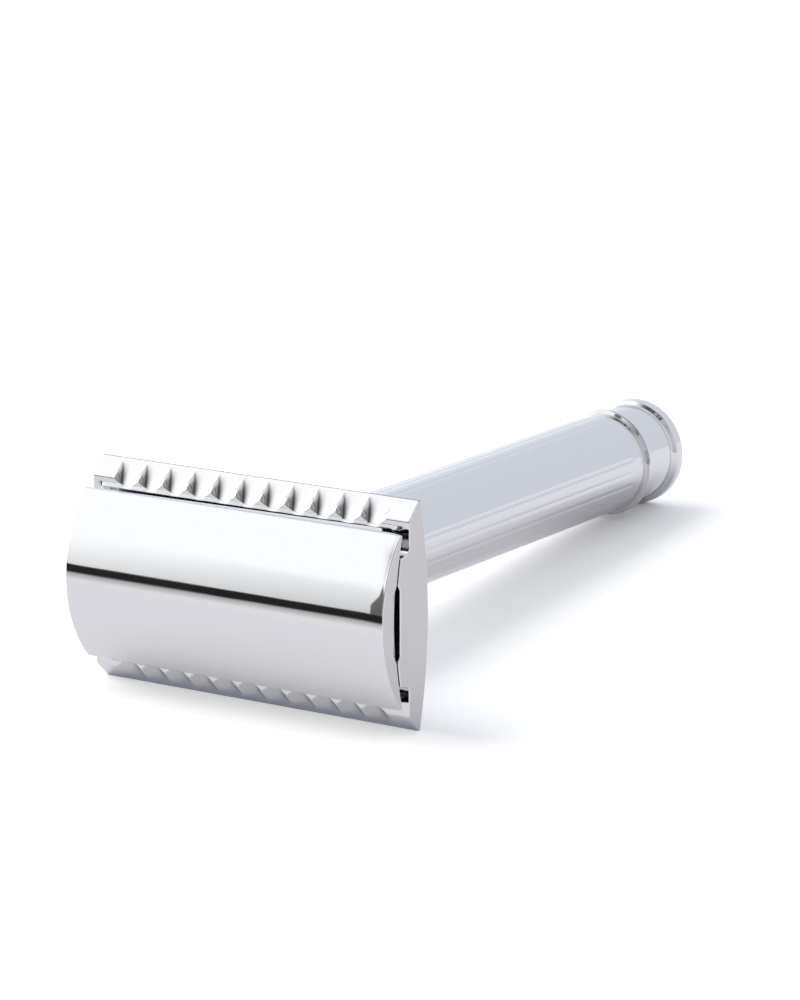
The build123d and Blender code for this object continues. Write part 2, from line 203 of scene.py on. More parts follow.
# The room's brightness in each direction, where white is 1. Side, depth and height are the parts of
# the direction: to the right, away from the camera, and up.
part = worked_out(
    tree,
    dict(zip(("side", "depth", "height", "unevenness"), (*parts.outputs, unevenness))),
    (
        ("in_front", "STEP", "depth", 0.12, 0.0, 0.0, 1.0),
        ("above_table", "STEP", "height", 0.0, 0.018, 0.0, 1.0),
        # The diffuser: its edge leans, it is brighter higher up and at the far left, and its left
        # part is shaded low down.
        ("lean", "MULTIPLY", "height", 0.35),
        ("leaning", "ADD", "side", "lean"),
        ("edge_shift", "STEP", "height", 0.72, 0.87, 0.0, 0.12),
        ("edge", "ADD", "edge_shift", 0.12),
        ("from_edge", "SUBTRACT", "leaning", "edge"),
        ("left_of_edge", "STEP", "from_edge", 0.0, -0.38, 0.0, 1.0),
        ("screen", "MULTIPLY", "in_front", "left_of_edge"),
        ("screen", "MULTIPLY", "screen", "above_table"),
        ("glow_up", "STEP", "height", -0.1, 0.42, 1.0, 1.4),
        ("glow_left", "STEP", "side", -0.62, -0.9, 0.0, 2.2),
        ("glow", "ADD", "glow_up", "glow_left"),
        ("shade_across", "STEP", "side", -0.6, -0.53, 0.0, 0.2),
        ("shade_down", "STEP", "height", 0.4, 0.28, 0.0, 1.0),
        ("shade", "MULTIPLY", "shade_across", "shade_down"),
        ("glow", "SUBTRACT", "glow", "shade"),
        ("diffuser", "MULTIPLY", "screen", "glow"),
        # The pale surroundings: the wall behind, the right-hand wall and the ceiling.
        ("far_side", "STEP", "depth", -0.02, 0.12, 0.0, 1.0),
        ("far_left", "STEP", "side", -0.35, -0.6, 0.0, 0.22),
        ("far_glow", "ADD", 0.94, "far_left"),
        ("behind", "MULTIPLY", "far_side", "far_glow"),
        ("right_wall", "STEP", "leaning", 0.45, 0.95, 0.0, 0.9),
        ("ceiling", "STEP", "height", 0.87, 0.95, 0.0, 0.95),
        # The dim and uneven room behind the camera, darker high up in the middle.
        ("dark_across", "STEP", "side", 0.3, -0.04, 0.0, 0.34),
        ("dark_up", "STEP", "height", 0.6, 0.8, 0.0, 1.0),
        ("dark_patch", "MULTIPLY", "dark_across", "dark_up"),
        ("room", "SUBTRACT", 0.5, "dark_patch"),
        ("room", "MULTIPLY", "room", "unevenness"),
        ("room", "MULTIPLY", "above_table", "room"),
        ("upper", "MAXIMUM", "diffuser", "behind"),
        ("upper", "MAXIMUM", "upper", "right_wall"),
        ("rest", "MAXIMUM", "room", "ceiling"),
        ("upper", "MAXIMUM", "upper", "rest"),
        # A dark gap in the diffuser at the left, with one slanting side.
        ("slant", "MULTIPLY", "height", -0.55),
        ("slanting", "ADD", "side", "slant"),
        ("gap_left", "STEP", "side", -0.49, -0.48, 0.0, 0.82),
        ("gap_slant", "STEP", "slanting", -0.562, -0.55, 0.0, 1.0),
        ("gap", "MULTIPLY", "gap_left", "gap_slant"),
        ("gap_right", "STEP", "side", -0.27, -0.3, 0.0, 1.0),
        ("gap", "MULTIPLY", "gap", "gap_right"),
        ("gap", "MULTIPLY", "gap", "in_front"),
        ("beside_gap", "SUBTRACT", 1.0, "gap"),
        ("upper", "MULTIPLY", "upper", "beside_gap"),
        # The pale floor below the table's edge, in two steps, and the least light anywhere.
        ("floor_near", "STEP", "height", -0.08, -0.115, 0.0, 0.58),
        ("floor_far", "STEP", "height", -0.1, -0.2, 0.0, 0.44),
        ("floor", "ADD", "floor_near", "floor_far"),
        ("level", "MAXIMUM", "upper", "floor"),
        ("level", "MAXIMUM", "level", 0.022),
        ("coolness", "STEP", "depth", -0.05, 0.15, 0.0, 1.0),
    ),
)
cast = add(
    tree, "ShaderNodeMix",
    {"Factor": part["coolness"], "A": colour("#ffffff"), "B": colour("#f2f6ff")}, data_type="RGBA",
)
room = add(tree, "ShaderNodeBackground", {"Color": cast.outputs["Result"], "Strength": part["level"]})
white = add(tree, "ShaderNodeBackground", {"Color": colour("#ffffff"), "Strength": 1.0})
seen = add(tree, "ShaderNodeLightPath").outputs["Is Camera Ray"]
seen = add(tree, "ShaderNodeMixShader", {0: seen, 1: room, 2: white})
add(tree, "ShaderNodeOutputWorld", {"Surface": seen})


# --- Cap: die-cast zinc, chrome plated -------------------------------------------------
# A solid bar with a crown of one arc and a hollow along its underside. The crown is polished
# to a mirror, and the two end faces are only linished, so they stay satin.

head_half = 21.7
bend_radius, bend_top = 34.0, 4.58
bend_centre = bend_top - bend_radius
seat_point = np.array(frame["joints"][0]["pos_m"])
seat_level = -2.4
cap_way = np.array(frame["joints"][0]["axis"])
head_way = np.array((1.0, 0.0, 0.0))
up_way = np.cross(cap_way, head_way)


def place(x, u, z):
    """Points in the frame, in metres: the seat's point, plus each length along its own direction."""
    x, u, z = (part[..., None] * 0.001 for part in np.broadcast_arrays(x, u, z))
    return (seat_point + x * head_way + u * up_way + (z - seat_level * 0.001) * cap_way).reshape(-1, 3)


def quads(rows, columns, closed_rows=False, closed_columns=False):
    """A grid's cells: each joins a point, the next in its row, and the two beside them in the next row."""
    row = np.arange(rows if closed_rows else rows - 1)[:, None]
    column = np.arange(columns if closed_columns else columns - 1)
    this_row, next_row = row * columns, (row + 1) % rows * columns
    beside = (column + 1) % columns
    corners = [this_row + column, this_row + beside, next_row + beside, next_row + column]
    return np.stack(np.broadcast_arrays(*corners), -1).reshape(-1, 4)


def arc(centre, radius, start, end, steps):
    """Points on a circle: the centre, plus the radius times the sine across and the cosine along z."""
    turn = np.radians(np.linspace(start, end, steps + 1))
    return np.stack([centre[0] + radius * np.sin(turn), centre[1] + radius * np.cos(turn)], -1)


def softened(loops, reach, steps=5):
    """Closed loops whose corners become parabolas, each touching both sides at its reach from the corner.

    No reach is longer than 0.4 of the shorter side, and a corner with no reach stays one point. A point
    just outside each end of a parabola keeps the flat beyond it flat in the shading.
    """
    reach = np.asarray(reach, float)
    back, ahead = np.roll(loops, 1, -2) - loops, np.roll(loops, -1, -2) - loops
    spans = [np.maximum(np.linalg.norm(way, axis=-1, keepdims=True), 1e-9) for way in (back, ahead)]
    back, ahead = back / spans[0], ahead / spans[1]
    length = np.minimum(reach[:, None], 0.4 * np.minimum(*spans))
    way_round = np.linspace(0, 1, steps + 1)
    curve = [loops + (1 - t) ** 2 * length * back + t**2 * length * ahead for t in way_round]
    beyond = 1.2 * length
    every = np.stack([loops + beyond * back, *curve, loops + beyond * ahead], -2)
    return every[..., (reach > 0)[:, None] | (np.arange(steps + 3) == 0), :]


def shrunk(loops, depth):
    """Clockwise loops moved inwards: each corner goes to where its two sides meet, once both are moved."""
    side = np.roll(loops, -1, -2) - loops
    side /= np.maximum(np.linalg.norm(side, axis=-1, keepdims=True), 1e-9)
    square = np.stack([side[..., 1], -side[..., 0]], -1)
    before = np.roll(square, 1, -2)
    return loops + depth * (square + before) / (1 + (square * before).sum(-1, keepdims=True))


def swept(loops, reach, stations, rounding, steps=4):
    """A bar: loops carried along x, both ends' rims rounded through a quarter circle and closed flat.

    A loop just past each end of the rounding keeps the faces beyond it flat in the shading. Also gives
    which faces are the flat ends.
    """
    turn = np.linspace(0, np.pi / 2, steps + 1)
    beyond = 1.15 * rounding
    inset = np.r_[beyond, rounding * (1 - np.sin(turn)), 0.0]
    along = np.r_[0.0, rounding * (1 - np.cos(turn)), beyond]
    start, end = (np.stack([shrunk(loops[i], depth) for depth in inset]) for i in (0, -1))
    rings = softened(np.concatenate([start, loops[1:-1], end[::-1]]), reach)
    x = np.r_[stations[0] + along, stations[1:-1], (stations[-1] - along)[::-1]]
    count, last = rings.shape[1], len(x) - 1
    points = place(x[:, None], rings[..., 0], rings[..., 1])
    ends = [list(range(count)), list(range(last * count, (last + 1) * count))]
    cells = quads(len(x), count, closed_columns=True)
    flat = np.isin(cells[:, 0] // count, (0, last - 1))
    return points, [*cells.tolist(), *ends], np.r_[flat, True, True]


sharp_turn = math.radians(28.0)


def form(name, points, faces, finishes, finish=None, turn=sharp_turn):
    """A closed piece, its doubles merged and faces outward, smooth but for edges sharper than the turn."""
    mesh = bpy.data.meshes.new(name)
    mesh.from_pydata(points.tolist(), [], faces if isinstance(faces, list) else faces.tolist())
    for material in finishes:
        mesh.materials.append(material)
    if finish is not None:
        mesh.polygons.foreach_set("material_index", np.asarray(finish, "i"))
    shell = bmesh.new()
    shell.from_mesh(mesh)
    bmesh.ops.remove_doubles(shell, verts=shell.verts, dist=1e-7)
    bmesh.ops.recalc_face_normals(shell, faces=shell.faces)
    shell.to_mesh(mesh)
    shell.free()
    mesh.shade_smooth()
    mesh.set_sharp_from_angle(angle=turn)
    made = bpy.data.objects.new(name, mesh)
    scene.collection.objects.link(made)
    return made


def fit(made, body, nodes):
    """The piece moves with a body and stands for its nodes, which are hidden."""
    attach(made, body)
    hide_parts(*nodes)


def started(name):
    """A new material, its node tree, its Principled shader, and the place on the piece for its patterns."""
    made = bpy.data.materials.new(name)
    made.use_nodes = True
    tree = made.node_tree
    return made, tree, tree.nodes["Principled BSDF"], add(tree, "ShaderNodeTexCoord").outputs["Object"]


# Bright chrome over nickel, buffed: an almost perfect mirror of a slightly cool grey, whose sheen
# and flatness vary a little over about 10 mm and 6 mm, as a buffing wheel leaves them.
chrome, tree, shader, spot = started("polished_chrome_plate")
haze = add(tree, "ShaderNodeTexNoise", {"Vector": spot, "Scale": 90.0, "Detail": 3.0})
gloss = add(tree, "ShaderNodeMapRange", {"Value": haze, "To Min": 0.02, "To Max": 0.08})
buffing = add(tree, "ShaderNodeTexNoise", {"Vector": spot, "Scale": 160.0, "Detail": 1.0})
relief = add(tree, "ShaderNodeBump", {"Strength": 0.02, "Distance": 0.0005, "Height": buffing})
link(tree, shader, {"Base Color": colour("#d9dadc"), "Metallic": 1.0, "Roughness": gloss, "Normal": relief})

# The same plating over a linished face: a grain of 0.2 by 0.8 mm that was never buffed out scatters
# the room into a soft, even grey. The real grain is finer, and is drawn coarser so that it shows.
satin, tree, shader, spot = started("satin_chrome_plate")
stretched = add(tree, "ShaderNodeMapping", {"Vector": spot, "Scale": (1.0, 1.0, 0.25)})
grain = add(tree, "ShaderNodeTexNoise", {"Vector": stretched, "Scale": 5000.0, "Detail": 4.0})
gloss = add(tree, "ShaderNodeMapRange", {"Value": grain, "To Min": 0.32, "To Max": 0.46})
relief = add(tree, "ShaderNodeBump", {"Strength": 0.25, "Distance": 0.00002, "Height": grain})
link(tree, shader, {"Base Color": colour("#cbcacb"), "Metallic": 1.0, "Roughness": gloss, "Normal": relief})

crown_radius, crown_top, cap_edge = 14.76, 7.6, 10.05
underside_radius, pocket_mouth, pocket_half, pocket_ceiling = 34.08, 4.45, 3.4, 4.98
edge_rounding, pocket_rounding, end_rounding = 0.15, 0.12, 0.14
crown_steps, lip_steps = 24, 6

crown_turn = math.degrees(math.asin(cap_edge / crown_radius))
lip_turn, mouth_turn = (
    math.degrees(math.asin(across / underside_radius)) for across in (cap_edge, pocket_mouth)
)
crown = arc((0, crown_top - crown_radius), crown_radius, 0, crown_turn, crown_steps)
lip = arc((0, bend_centre), underside_radius, lip_turn, mouth_turn, lip_steps)
half = np.concatenate([crown, lip, [(pocket_half, pocket_ceiling), (0, pocket_ceiling)]])
loop = np.concatenate([half, half[-2:0:-1] * (-1, 1)])
edge, mouth = [edge_rounding] * 2, [pocket_rounding] * 2
half_reach = np.r_[np.zeros(crown_steps), edge, np.zeros(lip_steps - 1), mouth, 0]
reach = np.r_[half_reach, half_reach[-2:0:-1]]

# Towards each end the buffing wheel has rolled the section off, as the square of how far it has
# come into the last few millimetres: further at the right end than at the left.
roll_length, right_roll, left_roll = 2.2, 0.11, 0.02
near_end = head_half - roll_length * np.array([1.0, 0.8, 0.62, 0.45, 0.3, 0.18, 0.0])
half_stations = np.r_[np.arange(0, 19, 2.0), 19.2, near_end]
stations = np.r_[-half_stations[:0:-1], half_stations]
into_roll = np.clip(1 - (head_half - np.abs(stations)) / roll_length, 0, 1)
buffed = np.where(stations > 0, right_roll, left_roll) * into_roll**2
sections = np.stack([shrunk(loop, depth) for depth in buffed])
points, faces, flat = swept(sections, reach, stations, end_rounding)
cap = form("cap_bar", points, faces, [chrome, satin], flat)
fit(cap, "cap", ["cap"])


# --- Stud and posts: a steel screw and two plain pins, pressed into the cap ----------------
# The screw is rolled M5 by 0.8 mm, right-handed and bright plated, with a chamfered tip. The
# pins are plain steel plated with the cap. They keep the blade and the base plate square.

stud_radius, stud_pitch, stud_tip, stud_end = 2.45, 0.8, -8.85, 6.45
thread_depth, stud_point, stud_columns = 0.46, 0.6, 48
half_crest, flank = 0.14, 0.6
post_radius, post_tip, post_end, post_point = 1.5, -1.35, 5.96, 0.4
post_place, post_rounding = 15.6, 0.1

# Bright zinc-nickel over rolled steel: clean and reflective, a shade darker than the chrome, in
# soft clouds of about 1.5 mm.
plated_steel, tree, shader, spot = started("plated_rolled_steel")
cloud = add(tree, "ShaderNodeTexNoise", {"Vector": spot, "Scale": 700.0, "Detail": 3.0})
shades = {"Factor": cloud, "A": colour("#b9babc"), "B": colour("#cccdce")}
shade = add(tree, "ShaderNodeMix", shades, data_type="RGBA").outputs["Result"]
gloss = add(tree, "ShaderNodeMapRange", {"Value": cloud, "To Min": 0.14, "To Max": 0.3})
link(tree, shader, {"Base Color": shade, "Metallic": 1.0, "Roughness": gloss})

# The thread: the radius drops from a flat crest down a straight flank to a flat root. Where a point
# is between crests is its level in pitches, less its part of a turn. The tip is chamfered.
turn = np.linspace(0, 2 * np.pi, stud_columns, endpoint=False)
level = np.r_[np.arange(stud_tip, pocket_ceiling, 0.05), stud_end][:, None]
phase = np.abs((level / stud_pitch - turn / (2 * np.pi)) % 1 - 0.5) * 2
groove = np.clip((phase - half_crest) / flank, 0, 1)
chamfer = stud_radius - stud_point + (level - stud_tip)
across = np.minimum(stud_radius - thread_depth * groove, chamfer)
points = place(across * np.cos(turn), across * np.sin(turn), level)
faces = quads(len(level), stud_columns, closed_columns=True).tolist()
faces += [list(range(stud_columns)), list(range(len(points) - stud_columns, len(points)))]
stud = form("cap_stud_screw", points, faces, [plated_steel])
fit(stud, "cap", ["cap_stud"])


def turned(outline, reach, columns=96, centre=0.0):
    """A lathe-turned form: a closed outline of radius and level, carried once round the axis."""
    outline = softened(np.asarray(outline, float), reach)
    turn = np.linspace(0, 2 * np.pi, columns, endpoint=False)
    radius, level = outline[:, :1], outline[:, 1:]
    points = place(centre + radius * np.cos(turn), radius * np.sin(turn), level)
    return points, quads(len(outline), columns, closed_rows=True, closed_columns=True)


for end, centre in (("left", -post_place), ("right", post_place)):
    outline = [
        (0, post_tip), (post_radius - post_point, post_tip), (post_radius, post_tip + post_point),
        (post_radius, post_end), (0, post_end),
    ]
    reach = [0, post_rounding, post_rounding, 0, 0]
    post = form(f"post_pin_{end}", *turned(outline, reach, 48, centre), [chrome])
    fit(post, "cap", [f"locating_post_{end}"])


# --- Blade: stainless strip steel, 0.1 mm thick, bent over the bed ---------------------------
# A standard double-edge blade: two ground edges, end tabs, and a slot with three wider openings
# for the stud and the posts. Only a thin strip of it shows beside the cap, and it lies a little
# askew in its play, so the strip tapers.

blade_half, tab_start, edge_half, tab_half, hone = 21.3, 18.8, 10.32, 8.8, 0.3
blade_skin, slot_half, least_gap, askew = 0.05, 1.3, 0.01, 0.01
edge_corner, tab_corner, shoulder_step = 0.25, 0.6, 0.004
openings = [(0.0, 3.05), (-post_place, 2.1), (post_place, 2.1)]

# Cold-rolled and hardened stainless: the rolling leaves faint lines along the strip, about 0.17 mm
# apart and drawn no finer, and it is left bright but not polished.
strip_steel, tree, shader, spot = started("cold_rolled_blade_steel")
rolled = add(tree, "ShaderNodeMapping", {"Vector": spot, "Scale": (0.03, 1.0, 1.0)})
lines = add(tree, "ShaderNodeTexNoise", {"Vector": rolled, "Scale": 6000.0, "Detail": 2.0})
gloss = add(tree, "ShaderNodeMapRange", {"Value": lines, "To Min": 0.16, "To Max": 0.3})
relief = add(tree, "ShaderNodeBump", {"Strength": 0.1, "Distance": 0.00001, "Height": lines})
link(tree, shader, {"Base Color": colour("#cdced6"), "Metallic": 1.0, "Roughness": gloss, "Normal": relief})

# The ground bevel: the stone's scratches run square to the edge, about 0.11 mm apart, and the bevel
# looks greyer.
ground_steel, tree, shader, spot = started("ground_blade_bevel")
ground = add(tree, "ShaderNodeMapping", {"Vector": spot, "Scale": (1.0, 0.02, 0.02)})
scratches = add(tree, "ShaderNodeTexNoise", {"Vector": ground, "Scale": 9000.0, "Detail": 2.0})
gloss = add(tree, "ShaderNodeMapRange", {"Value": scratches, "To Min": 0.2, "To Max": 0.38})
link(tree, shader, {"Base Color": colour("#c2c4c9"), "Metallic": 1.0, "Roughness": gloss})


def rounded_side(x, half, end, corner):
    """How far out a straight side stands at x: its half width, less a quarter circle at its end."""
    past = np.maximum(x - end + corner, 0)
    return half - corner + np.sqrt(np.maximum(corner**2 - past**2, 0))


# Each half of the blade is a loop at every station: over the top from the slot to the edge, and
# back underneath. Its thickness falls in a straight line to nothing over the bevel. Stations crowd
# where an opening or a corner turns.
spread = np.sin(np.linspace(-np.pi / 2, np.pi / 2, 25))
corner = spread[12:]
x = np.concatenate(
    [centre + radius * spread for centre, radius in openings]
    + [np.linspace(-blade_half, blade_half, 87)]
    + [s * (tab_start - edge_corner + edge_corner * corner) for s in (-1, 1)]
    + [s * (blade_half - tab_corner + tab_corner * corner) for s in (-1, 1)]
    + [(-tab_start - shoulder_step, tab_start + shoulder_step)]
)
x = np.unique(x.round(6))
off = np.abs(x)
inner = np.where(off <= post_place, slot_half, 0.0)
for centre, radius in openings:
    inner = np.maximum(inner, np.sqrt(np.maximum(radius**2 - (x - centre) ** 2, 0)))
inner[inner < least_gap] = 0
outer = np.where(
    off <= tab_start,
    rounded_side(off, edge_half, tab_start, edge_corner),
    rounded_side(off, tab_half, blade_half, tab_corner),
)
bevel = np.minimum(outer, edge_half - hone)
on_flat, on_bevel = np.linspace(0, 1, 10), (1 / 3, 2 / 3, 1)
over = np.concatenate(
    [
        inner[:, None] + (bevel - inner)[:, None] * on_flat,
        bevel[:, None] + (outer - bevel)[:, None] * on_bevel,
    ],
    1,
)
skin = blade_skin * np.clip((edge_half - over) / hone, 0, 1)
along_arc = np.concatenate([over, over[:, ::-1]], 1)
radius = bend_radius + np.concatenate([skin, -skin[:, ::-1]], 1)
rows, columns = along_arc.shape
cells = quads(rows, columns, closed_columns=True)
row, column = cells[:, 0] // columns, cells[:, 0] % columns
uncut = (column == columns - 1) & (inner[row] == 0) & (inner[row + 1] == 0)
cells, column, row = cells[~uncut], column[~uncut], row[~uncut]
honed = (np.minimum(column, columns - 2 - column) >= len(on_flat) - 1) & (outer[row] > edge_half - hone)
points, faces, finish = [], [], []
for side in (1, -1):
    first = len(points) * rows * columns
    last = first + (rows - 1) * columns
    turn = (side * along_arc + askew * x[:, None]) / bend_radius
    points.append(place(x[:, None], radius * np.sin(turn), bend_centre + radius * np.cos(turn)))
    ends = [list(range(first, first + columns)), list(range(last, last + columns))]
    faces += (cells + first).tolist() + ends
    finish += [*honed, False, False]
finishes = [strip_steel, ground_steel]
blade = form("blade_strip", np.concatenate(points), faces, finishes, finish, math.radians(5.0))
fit(blade, "blade", ["blade"])


# --- Base plate: die-cast and chrome plated, with two scalloped safety bars ------------------
# The bed in the middle carries the blade, flat lands with a low ledge run beside it, and each
# sloping bar has eleven scallops milled across it. A round boss underneath is the handle's seat.

bed_radius, bed_mouth, bed_edge, recess_half, recess_level = 33.92, 4.4, 7.35, 3.75, 3.8
land_level, ledge_rise, ledge_start, ledge_edge, ledge_foot = 1.95, 0.1, 7.7, 10.08, 10.58
ledge_half, ledge_run_out = 20.6, 0.2
bar_slope, bar_run, bar_edge = math.radians(45.3), 2.637, (11.323, 1.95)
nose_centre, nose_radius = (13.0, -0.1), 0.25
belly_radius, belly_level = 53.86, -1.95
belly_turn = math.degrees(math.asin(nose_centre[0] / (belly_radius - nose_radius)))
scallop_pitch, scallop_half_mouth, scallop_count = 3.39, 1.665, 11
hole_radius, post_hole_radius, boss_radius, boss_top, plate_rounding = 2.52, 1.57, 4.9, 1.0, 0.12
past_mouth, ledge_gap, nose_skin = 1.9, 0.02, 0.004

# Two places, as lengths down the bar's face from its edge, and there a scallop's depth and how
# softly its edges turn.
scallop_inner, scallop_outer = (-1.1, 0.766, 0.035), (2.66, 0.032, 0.06)


def trough_depth(x, sagitta, rounding):
    """Depth of a row of troughs below the bar's face, each the arc with this sagitta over its mouth.

    Where two arcs meet, or an arc meets the plain bar, half the sum of the depth and the root of its
    square plus a small square rounds the edge between them.
    """
    outermost = scallop_count // 2
    from_middle = x - scallop_pitch * np.clip(np.round(x / scallop_pitch), -outermost, outermost)
    radius = (scallop_half_mouth**2 + sagitta**2) / (2 * sagitta)
    from_middle = np.clip(from_middle, -past_mouth, past_mouth)
    depth = np.sqrt(np.maximum(radius**2 - from_middle**2, 0)) - (radius - sagitta)
    return 0.5 * (depth + np.sqrt(depth**2 + rounding**2))


def plate_loops(x):
    """The plate's outline at each station, mirrored, and how far each corner's softening reaches.

    It goes over the recess, the bed, the ledge, the trough line, the nose and the belly. The trough
    line is straight: it starts where it meets the land, and ends where it runs into the nose's circle.
    """
    first, last = (trough_depth(x, *cut[1:]) for cut in (scallop_inner, scallop_outer))
    slope = (last - first) / (scallop_outer[0] - scallop_inner[0])
    depth = first - slope * scallop_inner[0]
    start = -depth / (math.tan(bar_slope) + slope)
    drop = depth + slope * bar_run - nose_radius
    reached = drop**2 * slope**2 - (1 + slope**2) * (drop**2 - nose_radius**2)
    past = (np.sqrt(reached) - drop * slope) / (1 + slope**2)
    run = start[:, None] + (bar_run + past - start)[:, None] * (0, 0.25, 0.5, 0.75, 1)
    fall = depth[:, None] + slope[:, None] * run
    trough = np.stack(
        [
            bar_edge[0] + run * math.cos(bar_slope) - fall * math.sin(bar_slope),
            bar_edge[1] - run * math.sin(bar_slope) - fall * math.cos(bar_slope),
        ],
        -1,
    )
    first_turn = np.arctan2(past, nose_radius - fall[:, -1]) + bar_slope
    last_turn = np.pi - math.radians(belly_turn)
    turn = first_turn[:, None] + (last_turn - first_turn)[:, None] * (0.2, 0.36, 0.52, 0.68, 0.84, 1.0)
    nose = np.stack(
        [nose_centre[0] + nose_radius * np.sin(turn), nose_centre[1] + nose_radius * np.cos(turn)], -1
    )
    bed_turns = [math.degrees(math.asin(across / bed_radius)) for across in (bed_mouth, bed_edge)]
    bed = arc((0, bend_centre), bed_radius, *bed_turns, 3)
    top = np.concatenate([[(0, recess_level), (recess_half, recess_level)], bed])
    belly = arc((0, belly_level + belly_radius), belly_radius, 180 - belly_turn, 180, 12)[1:]
    top, belly = (np.broadcast_to(part, (len(x), *part.shape)) for part in (top, belly))
    raised = land_level + ledge_rise * np.clip((ledge_half - np.abs(x)) / ledge_run_out, 0, 1)
    foot = np.minimum(ledge_foot, trough[:, 0, 0] - ledge_gap)
    ledge = np.stack(np.broadcast_arrays(ledge_start, raised, ledge_edge, raised, foot, land_level), -1)
    half = np.concatenate([top, ledge.reshape(-1, 3, 2), trough, nose, belly], 1)
    top_reach, ledge_reach = (0, 0.2, 0.15, 0, 0, 0.2), (0.67, 0.05, 0.02)
    trough_reach = (0.22, 0, 0, 0, 0.1)
    half_reach = np.r_[top_reach, ledge_reach, trough_reach, np.zeros(nose.shape[1] + belly.shape[1])]
    return np.concatenate([half, half[:, -2:0:-1] * (-1, 1)], 1), np.r_[half_reach, half_reach[-2:0:-1]]


# The noses of the bars, which the buffing wheel passes over, keep the belt's marks along the bar, about
# 0.1 mm apart, in their roughness. Their colour is darkened as a painted shade, standing for the shaded
# table that they reflect at a grazing angle, so they show as a thin, darker line.
belt_marked_painted_shade, tree, shader, spot = started("belt_marked_plate_painted_shade")
stretched = add(tree, "ShaderNodeMapping", {"Vector": spot, "Scale": (0.1, 1.0, 1.0)})
marks = add(tree, "ShaderNodeTexNoise", {"Vector": stretched, "Scale": 9000.0, "Detail": 3.0})
gloss = add(tree, "ShaderNodeMapRange", {"Value": marks, "To Min": 0.28, "To Max": 0.42})
link(tree, shader, {"Base Color": colour("#7e7f82"), "Metallic": 1.0, "Roughness": gloss})

# The stations crowd towards the edges between the scallops, and towards the ends of the ledges.
spread = np.sin(np.linspace(-np.pi / 2, np.pi / 2, 31))[1:]
middles = scallop_pitch * (np.arange(scallop_count) - scallop_count // 2)
stations = (middles[:, None] + scallop_pitch / 2 * spread).ravel()
past_last = np.array([0.02, 0.05, 0.1, 0.2, 0.4, 0.56, 0.65, 0.8, 1.0])
plain = stations[-1] + (head_half - stations[-1]) * past_last
stations = np.r_[-plain[::-1], -stations[-1], stations, plain]
loops, reach = plate_loops(stations)
points, faces, flat = swept(loops, reach, stations, plate_rounding)

# A face is on a nose if its middle is inside the nose's circle, or in the thin skin outside it.
middle = points[np.array(faces[:-2])].mean(1) - seat_point
across, level = np.abs(middle @ up_way) * 1000, middle @ cap_way * 1000 + seat_level
on_nose = np.hypot(across - nose_centre[0], level - nose_centre[1]) < nose_radius + nose_skin
# Faces on the noses take the third finish, whose darker colour is painted shade.
finish = np.where(np.r_[on_nose, False, False], 2, flat)
plate = form("plate_with_bars", points, faces, [chrome, satin, belt_marked_painted_shade], finish)


def combined(made, other, operation):
    """The piece with another closed form joined to it or cut from it. The other one is used up."""
    step = made.modifiers.new(operation.lower(), "BOOLEAN")
    step.operation, step.object, step.solver = operation, other, "EXACT"
    finished = made.evaluated_get(bpy.context.evaluated_depsgraph_get())
    made.data = bpy.data.meshes.new_from_object(finished)
    made.modifiers.clear()
    bpy.data.objects.remove(other)
    made.data.set_sharp_from_angle(angle=sharp_turn)


boss = [(0, seat_level), (boss_radius, seat_level), (boss_radius, boss_top), (0, boss_top)]
combined(plate, form("boss", *turned(boss, [0, plate_rounding, 0, 0]), [chrome]), "UNION")
holes = ((hole_radius, 0.0), (post_hole_radius, -post_place), (post_hole_radius, post_place))
below_plate, above_plate = -4.0, 6.0
for radius, centre in holes:
    hole = [(0, below_plate), (radius, below_plate), (radius, above_plate), (0, above_plate)]
    combined(plate, form("hole", *turned(hole, [0, 0, 0, 0], 64, centre), [chrome]), "DIFFERENCE")
fit(plate, "plate", ["base_plate"])


# --- Neck collar: turned brass, chrome plated, threaded for the stud --------------------------
# A flange that seats against the boss, a waist for the fingers, a shoulder over the grip's end
# and a spigot glued into the tube. All of the outside is polished.

collar_top, waist_top, waist_end, shoulder_level, spigot_end = -2.45, -3.35, -12.05, -12.75, -18.55
collar_radius, waist_radius, shoulder_radius, spigot_radius = 4.7, 3.9, 6.2, 4.98
stud_bore, stud_bore_end, rod_bore, rod_bore_end = 2.5, -10.35, 2.02, -11.55
top_rounding, bore_rounding, shoulder_rounding, waist_rounding, waist_steps = 0.2, 0.1, 0.12, 0.1, 24


def through(first, middle, last, steps):
    """Points on the circle through three points: its centre is equally far from all three."""
    (ax, ay), (bx, by), (cx, cy) = first, middle, last
    centre = np.linalg.solve(
        [[2 * (bx - ax), 2 * (by - ay)], [2 * (cx - ax), 2 * (cy - ay)]],
        [bx**2 + by**2 - ax**2 - ay**2, cx**2 + cy**2 - ax**2 - ay**2],
    )
    turn = np.unwrap([math.atan2(x - centre[0], y - centre[1]) for x, y in (first, middle, last)])
    return arc(centre, math.hypot(ax - centre[0], ay - centre[1]), *np.degrees(turn[[0, 2]]), steps)


waist_middle = (waist_radius, (2 * waist_top + waist_end) / 3)
waist = through((shoulder_radius, waist_end), waist_middle, (collar_radius, waist_top), waist_steps)
outline = [
    (collar_radius, collar_top), (stud_bore, collar_top),
    (stud_bore, stud_bore_end), (0, stud_bore_end), (0, rod_bore_end), (rod_bore, rod_bore_end),
    (rod_bore, spigot_end), (spigot_radius, spigot_end), (spigot_radius, shoulder_level),
    (shoulder_radius, shoulder_level), *waist,
]
reach = [top_rounding, bore_rounding, *np.zeros(7), shoulder_rounding]
reach += [waist_rounding, *np.zeros(waist_steps - 1), waist_rounding]
collar = form("collar_turned", *turned(outline, reach), [chrome])
fit(collar, "handle", ["neck_collar"])


# --- Seals: two flat rings of black nitrile rubber ---------------------------------------------
# Each is nipped between two metal shoulders and shows as a dark line round the handle.

tube_bore, seal_radius, seal_thickness, seal_rounding = 5.0, 6.25, 0.4, 0.08
rear_shoulder = -78.95

